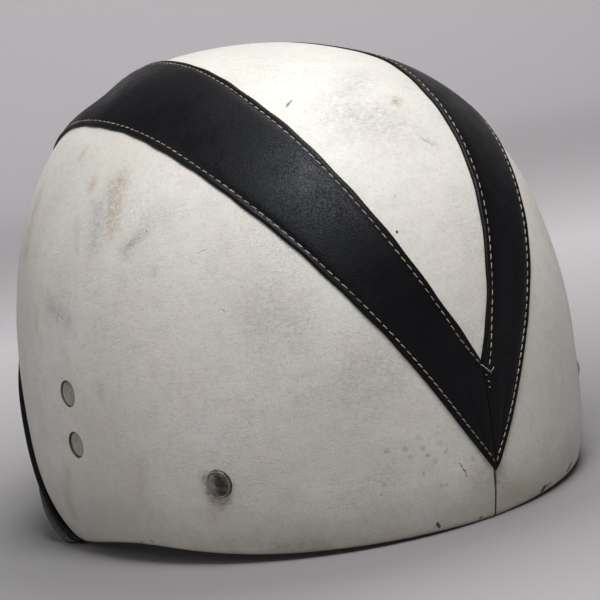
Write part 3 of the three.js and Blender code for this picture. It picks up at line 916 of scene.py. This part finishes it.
# Black stripes: strips with both edges folded under, lying on the white leather
stripe = {
    "stations": 330,
    "from": -2.9,
    "crotch": (13.7, 14.6),  # degrees along, where the inner edges part
    "pressed": {"most": 0.65, "from": 62, "full": 82, "fade": 118, "to": 135},  # thinner, on the right
    "sunk": {"most": 1.75, "from": 90, "full": 108, "fade": 132, "to": 150},  # mm, where it dips more
    "dip": 0.25,  # mm, the middle lies lower
    "bottom": 0.05,
    "bottomLines": (0.75, 0.5, 0.25),
    "fieldColumns": 9,
    "fullHalf": 8.2,  # mm, narrower halves squeeze the edge
    "thinTip": (3.0, 0.35),
    "wobble": 0.05,  # degrees, the edges aren't quite even
    "waves": ((0.31, 5, 0), (0.83, -8, 1)),  # turns by degree along, by share across, start
    "evened": (0.3, 2),  # degrees across where the waves start, and over which they grow
    "lumps": (26, 0.12, 9),
    "lumpy": (0.2, 0.8),  # share of the section's lines
    "apart": 0.06,  # mm from the middle at the mitre
    "stitchIn": 2.8,
    "foldedEdge": (
        (0.0, 0.05), (0.02, 0.5), (0.18, 0.93), (0.5, 1.27), (1.0, 1.43), (1.6, 1.38), (2.2, 1.19),
        (2.75, 0.99), (3.3, 1.02), (4.0, 1.2), (5.2, 1.3), (7.2, 1.24),
    ),
    "seamEdge": (
        (0.0, 0.05), (0.02, 0.7), (0.1, 0.93), (0.3, 1.07), (0.7, 1.15), (1.3, 1.19), (2.0, 1.22),
        (2.7, 1.23), (3.3, 1.23), (4.0, 1.24), (5.2, 1.25), (7.2, 1.24),
    ),
}


def stripeWidth(along):
    inner = skin(direction(along, innerAcross(along, 1)))
    outer = skin(direction(along, outerAcross(along, 1)))
    return np.linalg.norm(outer - inner, axis=-1)


def keptHeight(along, side):
    return 1 - swell(along, stripe["pressed"]) * (side < 0)


# Share of the way from the inner to the outer edge, and height, for each line of the section
def stripeSection(along, side):
    width = stripeWidth(along)
    folded = np.array(stripe["foldedEdge"])
    seam = np.array(stripe["seamEdge"])
    start, end = stripe["crotch"]
    parted = np.clip((along - start) / (end - start), 0, 1)
    squeeze = np.minimum(1, width / 2 / stripe["fullHalf"])
    keep = keptHeight(along, side)
    deep = swell(along, stripe["sunk"])
    insets = [x * squeeze / width for x in folded[:, 0]]
    shares = list(insets)
    heights = [(seam[k, 1] * (1 - parted) + folded[k, 1] * parted) * keep for k in range(len(folded))]
    for t in np.linspace(0, 1, stripe["fieldColumns"] + 2)[1:-1]:
        shares.append(insets[-1] + (1 - 2 * insets[-1]) * t)
        sag = stripe["dip"] * math.sin(math.pi * t) * squeeze + deep * math.sin(math.pi * t) ** 1.5
        heights.append((folded[-1, 1] - sag) * keep)
    for k in reversed(range(len(folded))):
        shares.append(1 - insets[k])
        heights.append(folded[k, 1] * keep)
    for t in stripe["bottomLines"]:
        shares.append(t + 0 * width)
        heights.append(stripe["bottom"] - deep * math.sin(math.pi * t) ** 3 * keep)
    thin, least = stripe["thinTip"]
    return np.array(shares), np.array(heights) * np.minimum(1, width / thin + least)


def stripeGrid(side):
    lineCount = 2 * len(stripe["foldedEdge"]) + stripe["fieldColumns"] + len(stripe["bottomLines"])
    columns = []
    calm, grows = stripe["evened"]
    firstLumpy, lastLumpy = stripe["lumpy"]
    t = np.linspace(0, 1, stripe["stations"])
    for j in range(lineCount):
        def acrossAt(along, j=j):
            share = stripeSection(np.asarray(along, float), side)[0][j]
            uneven = sum(np.sin(along * a + share * b + c) for a, b, c in stripe["waves"])
            inner, outer = innerAcross(along, side), outerAcross(along, side)
            wobble = stripe["wobble"] * np.clip((inner - calm) / grows, 0, 1)
            return inner + share * (outer - inner) + uneven * wobble

        along = stripe["from"] + (browCrossing(acrossAt) - stripe["from"]) * t
        flat = skin(direction(along, acrossAt(along)))
        lift = stripeSection(along, side)[1][j]
        if firstLumpy < j / lineCount < lastLumpy:
            lift = lift + lumps(flat, stripe["lumps"]) * calmed(t)
        lift = lift + settleAt(mirrored(flat, side))
        flat = flat + normalsAt(flat) * lift[:, None]
        rim = rimFrames(azimuthOf(flat[-1:]))
        columns.append(np.concatenate([flat, foldRows(rim, lift[-1:])[0]]))
    grid = np.array(columns)
    grid[..., 0] = np.maximum(grid[..., 0], stripe["apart"])
    return grid


for name, side in (("left", 1), ("right", -1)):
    piece = closedPiece(f"blackStripe_{name}", mirrored(stripeGrid(side), side), None, True)
    finishPiece(piece, look["black"], "black_leather", f"stripe_{name}")
print("black stripes made")

# Topstitching in beige thread
stitch = {
    "pitch": (3.35, 4.2),  # mm, closer together near the V
    "widens": (12, 35),  # degrees along
    "length": 0.9,  # of the pitch
    "radius": 0.25,
    "thin": 0.35,  # of the radius where it dips in, and at its very ends
    "tip": 0.15,
    "dips": 0.9,
    "clear": 0.2,  # degrees from the mitre seam
    "lift": (1.16, 0.92),  # mm over the dome, higher near the V
    "sinks": (8, 24),  # degrees along
    "rise": 0.14,
    "slant": 0.14,
    "sides": 6,
    "rings": 6,
    "seed": 4,
    "uneven": {"start": (0.2, 0.3), "length": 0.1, "slant": 0.2, "radius": 0.15, "pitch": 0.05},
    "outerStart": 1.3,  # degrees along from the stripe's tip
    "to": 158,
    "measured": 1600,  # points along a row
    "joins": 22,  # degrees along, where the ends of the inner rows start
    "innerEnds": {
        "left": ((11.9, -1.3), (13.05, -0.17), (13.7, 0.44), (15.8, 1.72), (18.3, 3.1)),
        "right": ((12.9, 1.13), (15.5, 2.09), (18.9, 3.11)),
    },
}


# Points of one stitch: a thread that rises out of the leather and dips back in
def stitchGrid(start, end, out, radius, rise):
    run = end - start
    side = unit(np.cross(run, out))
    columns = []
    for k in range(stitch["sides"]):
        angle = 2 * math.pi * k / stitch["sides"]
        line = []
        for i in range(stitch["rings"] + 1):
            t = i / stitch["rings"]
            arch = math.sin(math.pi * t)
            plump = stitch["thin"] + (1 - stitch["thin"]) * arch**0.5 if 0 < t < 1 else stitch["tip"]
            middle = start + run * t + out * (rise * arch - radius * stitch["dips"] * (1 - arch) ** 2)
            line.append(middle + (side * math.cos(angle) + out * math.sin(angle)) * radius * plump)
        columns.append(line)
    return np.array(columns)


# One object from many small closed tubes
def tubesPiece(name, grids):
    vertices, faces = [], []
    for grid in grids:
        faces.extend(gridFaces(*grid.shape[:2], len(vertices), True, True))
        vertices.extend(toFrame(grid.reshape(-1, 3)).tolist())
    piece = meshPiece(name, vertices, faces)
    reshape(piece, faceOutwards)
    finishPiece(piece, look["thread"], None)


# Line that the outer or inner row of stitches follows on a stripe, in mm
def stitchLine(edge, name, side):
    ends = np.array(stitch["innerEnds"][name])
    start = stripe["from"] + stitch["outerStart"] if edge == "outer" else ends[0, 0]
    along = np.linspace(start, stitch["to"], stitch["measured"])
    inner, outer = innerAcross(along, side), outerAcross(along, side)
    inset = stripe["stitchIn"] / stripeWidth(along) * (outer - inner)
    if edge == "outer":
        across = np.maximum(outer - inset, stitch["clear"])
    else:
        across = inner + inset
        meet = (stitch["joins"], float(np.interp(stitch["joins"], along, across)))
        bent = np.interp(along, *np.array([*ends, meet]).T)
        across = np.where(along < stitch["joins"], bent, across)
    flat = skin(direction(along, side * across))
    lift = np.interp(along, stitch["sinks"], stitch["lift"]) * keptHeight(along, side) + settleAt(flat)
    points = flat + normalsAt(flat) * lift[:, None]
    above = points[:, 2] > rimHeight(azimuthOf(points)) + fold["radius"]
    return points[above], along[above]


def stitchRow(draw, edge, name, side):
    line, along = stitchLine(edge, name, side)
    run = runAlong(line)
    uneven = stitch["uneven"]
    grids = []
    at = uneven["start"][0] + draw.random() * uneven["start"][1]
    while True:
        pitch = float(np.interp(np.interp(at, run, along), stitch["widens"], stitch["pitch"]))
        length = pitch * stitch["length"] * (1 + uneven["length"] * (draw.random() - 0.5))
        if at + length > run[-1]:
            return grids
        start, end = pointsAt(np.array([at, at + length]), run, line)
        out = normalsAt(start)
        sideways = unit(np.cross(end - start, out)) * stitch["slant"] * side
        slack = (draw.random() - 0.5) * uneven["slant"]
        radius = stitch["radius"] * (1 + uneven["radius"] * (draw.random() - 0.5))
        start = start + sideways * (1 + slack)
        grids.append(stitchGrid(start, end - sideways * (1 - slack), out, radius, stitch["rise"]))
        at += pitch * (1 + uneven["pitch"] * (draw.random() - 0.5))


draw = random.Random(stitch["seed"])
for name, side in (("left", 1), ("right", -1)):
    rows = [stitchRow(draw, edge, name, side) for edge in ("outer", "inner")]
    tubesPiece(f"stripeStitches_{name}", rows[0] + rows[1])

# Hand tack where the two inner rows of stitches meet, and loose stitches in the mitre seam below it
tack = {
    "lift": 1.15,
    "rise": 0.35,
    # from and to in degrees along and across, radius in mm
    "rows": (
        ((13.0, -0.25), (12.1, -0.95), 0.3), ((12.5, -0.6), (11.75, -1.4), 0.36),
        ((12.05, -1.25), (12.65, -1.95), 0.22), ((11.85, -0.1), (11.7, -0.6), 0.22),
        ((10.9, -0.4), (10.65, -0.75), 0.2), ((10.0, -0.4), (9.8, -0.7), 0.2),
    ),
}


def makeTack():
    grids = []
    for first, last, radius in tack["rows"]:
        start, end = (skin(direction(*place), tack["lift"]) for place in (first, last))
        grids.append(stitchGrid(start, end, normalsAt(start), radius, tack["rise"]))
    tubesPiece("mitreTack", grids)


makeTack()
print("stitches made")

# Black piping along the face opening: a bead, and a band that covers the turned edge behind it
piping = {
    "radius": 1.6,
    "gap": 0.3,
    "cheekAngle": 50,  # degrees round the fold
    "browAngle": 24,
    "turn": (116.3, 123.3),
    "from": 97,
    "stations": 420,
    "taper": 9.0,
    "taperLeast": 0.03,
    "swollen": {"at": 103, "reach": 5, "by": 0.2},  # azimuths, at the cheek
    "lumps": (11, 0.08, 12),
    "bead": (200, -120, 15),  # degrees round the bead and its lines
    "band": (3.52, 4.2),  # inner and outer radius of the band round the fold
    "bandFrom": -92,
    "bandShort": (14, 27),  # degrees that its inner and outer faces stop before the bead
    "bandLines": 9,
}


def makePiping():
    azimuth = np.linspace(piping["from"], 360 - piping["from"], piping["stations"])
    rim = rimFrames(azimuth)
    fromNape = 180 - np.abs(azimuth - 180)
    turned = smoothStep(fromNape, *piping["turn"])
    seatAngle = piping["cheekAngle"] + (piping["browAngle"] - piping["cheekAngle"]) * turned
    run = runAlong(rim["point"])
    near = np.clip(np.minimum(run, run[-1] - run) / piping["taper"], piping["taperLeast"], 1)
    cheek = piping["swollen"]
    swollen = 1 + cheek["by"] * np.exp(-(((fromNape - cheek["at"]) / cheek["reach"]) ** 2))
    radius = piping["radius"] * np.sqrt(near) * swollen + lumps(rim["point"], piping["lumps"])
    shares = np.linspace(0, 1, piping["bandLines"])

    def bandFace(which, shares):
        reach = seatAngle - piping["bandShort"][which] - piping["bandFrom"]
        return [(piping["band"][which], piping["bandFrom"] + reach * share) for share in shares]

    ring = bandFace(0, shares)
    reach = fold["radius"] + piping["gap"] + radius
    for turn in np.radians(np.linspace(*piping["bead"])):
        away = reach + radius * math.cos(turn)
        aside = radius * math.sin(turn)
        ring.append((np.hypot(away, aside), seatAngle + np.degrees(np.arctan2(aside, away))))
    columns = []
    for distance, angle in ring + bandFace(1, shares[::-1]):
        beyond = distance * np.cos(np.radians(angle)) - fold["radius"]
        columns.append(atEdge(rim, beyond, distance * np.sin(np.radians(angle)) - fold["radius"]))
    piece = closedPiece("edgePipingCord", np.array(columns), None, True)
    finishPiece(piece, look["black"], "black_leather", "edge_piping")


makePiping()

# Padded lining: its section past the rim, plain and where it swells into a roll at the cheek
lining = {
    "columns": 250,
    "outerRows": 12,
    "innerRows": 56,
    "outside": 7.5,
    "thick": 14.0,
    "foot": 10,  # mm from the rim
    "lumps": ((38, 1.0, 21), (15, 0.3, 22)),
    "calm": 6,  # the lumps fade over a sixth of the way to the foot
    "plainEnd": (
        (-10, -7.5), (-6, -7.7), (-4, -8.4), (-2.6, -9.8), (-1.9, -11.4), (-1.6, -13.0), (-1.5, -14.5),
        (-1.6, -16.0), (-1.9, -17.6), (-2.6, -19.2), (-4, -20.6), (-6, -21.3), (-10, -21.5),
    ),
    "rollEnd": (
        (-10, -7.5), (-3, -7.9), (1.2, -7.0), (2.6, -4.0), (2.6, -0.5), (2.6, 3.0), (3.6, 5.0),
        (5.2, 5.0), (6.4, 3.0), (6.8, -1.0), (5.8, -8.0), (2.0, -16.0), (-10, -21.5),
    ),
    "roll": (93, 103, 105.5, 124),  # azimuths where it starts, is full, fades and ends
}


# Azimuths round the dome, its rim there, and the crown's direction for each
def wholeRing(columns):
    azimuth = np.linspace(-180, 180, columns, endpoint=False)
    return azimuth, rimFrames(azimuth), np.broadcast_to(np.array([0.0, 0.0, 1.0]), (columns, 3))


def makeLining():
    azimuth, rim, crown = wholeRing(lining["columns"])
    start, full, fade, end = lining["roll"]
    share = smoothStep(np.abs(azimuth), start, full) - smoothStep(np.abs(azimuth), fade, end)
    plain = smoothLine(lining["plainEnd"], 4)
    roll = smoothLine(lining["rollEnd"], 4)
    foot = atEdge(rim, -lining["foot"], 0)
    outside = domeRows(crown, foot, np.linspace(0, 1, lining["outerRows"]), -lining["outside"])
    innerShares = np.linspace(1, 0, lining["innerRows"])
    inside = domeRows(crown, foot, innerShares, -lining["outside"] - lining["thick"])
    soft = lumps(inside, *lining["lumps"]) * np.clip(innerShares * lining["calm"], 0, 1)
    inside = inside + normalsAt(inside) * soft[..., None]
    turned = []
    for a, b in zip(plain[1:-1], roll[1:-1]):
        turned.append(atEdge(rim, *(a[:, None] + (b - a)[:, None] * share)))
    piece = closedPiece("paddedLining", np.concatenate([outside, np.stack(turned, 1), inside], 1))
    finishPiece(piece, look["vinyl"], "lining", "lining")


makeLining()

# Hard shell between leather and lining
carrier = {"columns": 160, "rows": 40, "top": 1.9, "thick": 3.0, "edgeSteps": 6}


def makeCarrier():
    rim, crown = wholeRing(carrier["columns"])[1:]
    foot = atEdge(rim, -fold["radius"], 0)
    shares = np.linspace(0, 1, carrier["rows"])
    outside = domeRows(crown, foot, shares, -carrier["top"])
    inside = domeRows(crown, foot, shares[::-1], -carrier["top"] - carrier["thick"])
    half = carrier["thick"] / 2
    edge = []
    for k in range(1, carrier["edgeSteps"]):
        angle = math.pi * k / carrier["edgeSteps"]
        beyond = half * math.sin(angle) - fold["radius"]
        edge.append(atEdge(rim, beyond, half * math.cos(angle) - fold["radius"]))
    piece = closedPiece("carrierShell", np.concatenate([outside, np.stack(edge, 1), inside], 1))
    finishPiece(piece, look["resin"], "shell", "shell")


makeCarrier()
print("piping, lining and shell made")

# Turned metal: radius and height of each point of the profile in mm, and how much it is darkened by tarnish,
# painted shade and a painted dark reflection
rivet = {
    "profile": (
        (5.7, -3.0), (5.7, -1.1), (5.63, -0.85), (5.4, -0.72), (4.7, -0.64), (3.2, -0.55), (1.6, -0.5),
        (0, -0.48),
    ),
    "dullAndShade": 0.2,
    # painted shade: the rim, sunk under the leather's edge, and one side are darker
    "shadedRim": {"from": 5.2, "by": 0.5},
    "shadedSide": 0.13,
}
stud = {
    "profile": (
        (6.15, -1.0), (6.15, 0.25), (6.1, 0.65), (5.98, 1.0), (5.8, 1.26), (5.55, 1.4), (5.3, 1.4),
        (5.12, 1.3), (4.98, 1.2), (4.85, 1.22), (4.65, 1.42), (4.1, 1.78), (3.1, 2.24), (1.7, 2.64),
        (0.7, 2.79), (0, 2.8),
    ),
    "dullAndShade": (0.42, 0.2),  # all over, and how much more on the side in painted shade
    "shadedFoot": (5.75, 6.05),  # radius where the painted shade at its foot starts and is full
    # painted dark reflection over the middle, off centre and darker on one side
    "reflectedMiddle": {"edge": 6.0, "offCentre": 0.1, "fades": (0.3, 1.6), "by": (0.46, 0.42), "sided": 3},
}
metalTurn = {"sides": 56, "between": 4, "shadeTurn": 0.3}  # columns, points between the profile's, and the turn in radians of the side in painted shade


# Tarnish all over, and painted shade on a rivet's rim and on one side
def rivetDullAndShade(radius, sided):
    rim = rivet["shadedRim"]
    darker = rivet["shadedSide"] * (1 - sided) * radius / radius[0]
    return rim["by"] * (radius > rim["from"]) + rivet["dullAndShade"] + darker


# A stud gets painted shade at its foot, a painted dark reflection over its middle that is darker over one
# half, and is darker on one side
def studDullAndShade(radius, sided, angle):
    middle = stud["reflectedMiddle"]
    inside = middle["edge"] - radius * (1 - middle["offCentre"] * math.cos(angle))
    amount, sideAmount = middle["by"]
    halved = amount - sideAmount * sided * np.clip(radius / middle["sided"], 0, 1)
    foot = smoothStep(radius, *stud["shadedFoot"])
    allOver = stud["dullAndShade"][0] - stud["dullAndShade"][1] * sided
    return np.clip(foot + smoothStep(inside, *middle["fades"]) * halved + allOver, 0, 1)


def turnedPiece(name, node, kind):
    centre, out = metalSeat(node)
    across = unit(np.cross(out, np.array([0.0, 0.0, 1.0])))
    up = np.cross(across, out)
    line = smoothLine(kind["profile"], metalTurn["between"])
    columns, dullAndShade = [], []
    for k in range(metalTurn["sides"]):
        angle = 2 * math.pi * k / metalTurn["sides"]
        # how far this column lies towards the lit side, for the painted shade
        sided = math.cos(angle + metalTurn["shadeTurn"])
        spoke = across * math.cos(angle) + up * math.sin(angle)
        columns.append(centre + spoke * line[:, :1] + out * line[:, 1:])
        dullAndShade.append(rivetDullAndShade(line[:, 0], sided) if kind is rivet else studDullAndShade(line[:, 0], sided, angle))
    piece = closedPiece(name, np.array(columns), {"dullAndShade": np.array(dullAndShade)})
    finishPiece(piece, look["nickel"], "nickel", node)


for name in ("left", "right"):
    for place in ("upper", "lower"):
        turnedPiece(f"strapRivet_{name}_{place}", f"strap_rivet_{name}_{place}", rivet)
    turnedPiece(f"rearStud_{name}", f"rear_stud_{name}", stud)
print("metal made")

# Floor and backdrop in one round sweep, in metres; the paper is darkened round the helmet as a painted shadow
sweep = {
    "flat": (0.6, 2.2),
    "curve": 0.9,
    "curveSteps": 12,
    "wall": 1.7,
    "sides": 96,
    # near: the paper's dark colour round the helmet, a painted shadow that fades out to the pale far colour
    "near": (0.26, 0.253, 0.257),
    "far": (0.86, 0.83, 0.85),
    "fade": (0.15, 0.72),
    "shader": {"Roughness": 0.9, "Specular IOR Level": 0.1},
}


def makeSweep():
    profile = [(radius, 0.0) for radius in sweep["flat"]]
    foot, curve = sweep["flat"][1], sweep["curve"]
    for k in range(1, sweep["curveSteps"] + 1):
        angle = math.radians(90 * k / sweep["curveSteps"])
        profile.append((foot + curve * math.sin(angle), curve * (1 - math.cos(angle))))
    profile.append((foot + curve, sweep["wall"]))
    places, count = [], sweep["sides"]
    for k in range(count):
        c, s = math.cos(2 * math.pi * k / count), math.sin(2 * math.pi * k / count)
        places.extend((radius * c, radius * s, height) for radius, height in profile)
    faces = [face[::-1] for face in gridFaces(count, len(profile), 0, True)]
    faces.append([k * len(profile) for k in range(count)])
    floor = meshPiece("sweep", places, faces)
    floor.data.shade_smooth()
    material, tree, shader, coords = newMaterial("pale paper", sweep["shader"])
    away = vectorMath(tree, "LENGTH", coords, None, "Value")
    # painted shadow: the paper darkens towards the helmet
    colour = blendColour(tree, remap(tree, away, *sweep["fade"]), sweep["near"], sweep["far"])
    plug(tree, shader.inputs["Base Color"], colour)
    floor.data.materials.append(material)


# Camera of the photo: degrees and mm about the head's middle
camera = {
    "azimuth": 31.654,
    "elevation": 13.493,
    "roll": -7.597,
    "distance": 1005.96,
    "right": 7.24,
    "up": 42.25,
    "pixels": 600,
    "focal": 2130.56,  # in pixels
    "sensor": 36.0,
    "sees": 50,  # metres
}


def cameraAxes():
    a, e, r = (math.radians(camera[key]) for key in ("azimuth", "elevation", "roll"))
    back = np.array([math.sin(a) * math.cos(e), math.cos(a) * math.cos(e), math.sin(e)])
    level = np.array([-math.cos(a), math.sin(a), 0])
    upright = np.cross(back, level)
    right = level * math.cos(r) + upright * math.sin(r)
    up = upright * math.cos(r) - level * math.sin(r)
    return right, up, back


def makeCamera():
    right, up, back = cameraAxes()
    place = back * camera["distance"] + right * camera["right"] + up * camera["up"]
    origin = toFrame(np.zeros(3))
    axes = [toFrame(axis * 1000) - origin for axis in (right, up, back)]
    data = bpy.data.cameras.new("photo camera")
    data.sensor_width = camera["sensor"]
    data.lens = camera["focal"] * camera["sensor"] / camera["pixels"]
    data.clip_end = camera["sees"]
    made = addObject("photo camera", data)
    turn = Matrix([[axes[c][r] for c in range(3)] for r in range(3)])
    made.matrix_world = Matrix.Translation(Vector(toFrame(place))) @ turn.to_4x4()
    bpy.context.scene.camera = made


makeCamera()
makeSweep()

# Soft lights: metres to the camera's right, up and towards the camera. They look at the helmet or their aim
lights = [
    {"name": "big softbox above", "at": (0.3, 1.3, -0.45), "size": (0.7, 0.7), "watts": 6.6},
    {"name": "key softbox", "at": (0.12, 0.9, 0.44), "size": (0.4, 0.4), "watts": 8.2},
    {"name": "soft front light", "at": (0.3, 0.55, 1.9), "size": (0.7, 0.5), "watts": 0.3},
    {"name": "window on the left", "at": (-1.3, 1.0, 0.1), "size": (0.9, 1.1), "watts": 3.8},
    {"name": "backdrop light", "at": (0, 1.5, -2.1), "size": (2.6, 0.5), "watts": 9.8, "aim": (0, 0.5, -3.2)},
]
lightAim = (0, 0.08, 0)
room = {"colour": (0.80, 0.80, 0.84), "strength": 0.09}


def makeLights():
    toCamera = unit(cameraAxes()[2] * np.array([1, 1, 0]))
    toRight = np.array([-toCamera[1], toCamera[0], 0])

    def placeOf(x, height, y):
        return Vector(toRight * x + toCamera * y) + Vector((0, 0, height))

    for row in lights:
        data = bpy.data.lights.new(row["name"], "AREA")
        data.shape = "RECTANGLE"
        data.size, data.size_y = row["size"]
        data.energy = row["watts"]
        made = addObject(row["name"], data)
        made.location = placeOf(*row["at"])
        made.rotation_mode = "QUATERNION"
        target = placeOf(*row.get("aim", lightAim))
        made.rotation_quaternion = (target - made.location).to_track_quat("-Z", "Y")
    world = bpy.data.worlds.new("soft room")
    world.use_nodes = True
    background = world.node_tree.nodes["Background"]
    background.inputs["Color"].default_value = (*room["colour"], 1)
    background.inputs["Strength"].default_value = room["strength"]
    bpy.context.scene.world = world
    bpy.context.scene.view_settings.view_transform = "Standard"


makeLights()
print("stage, camera and lights made")
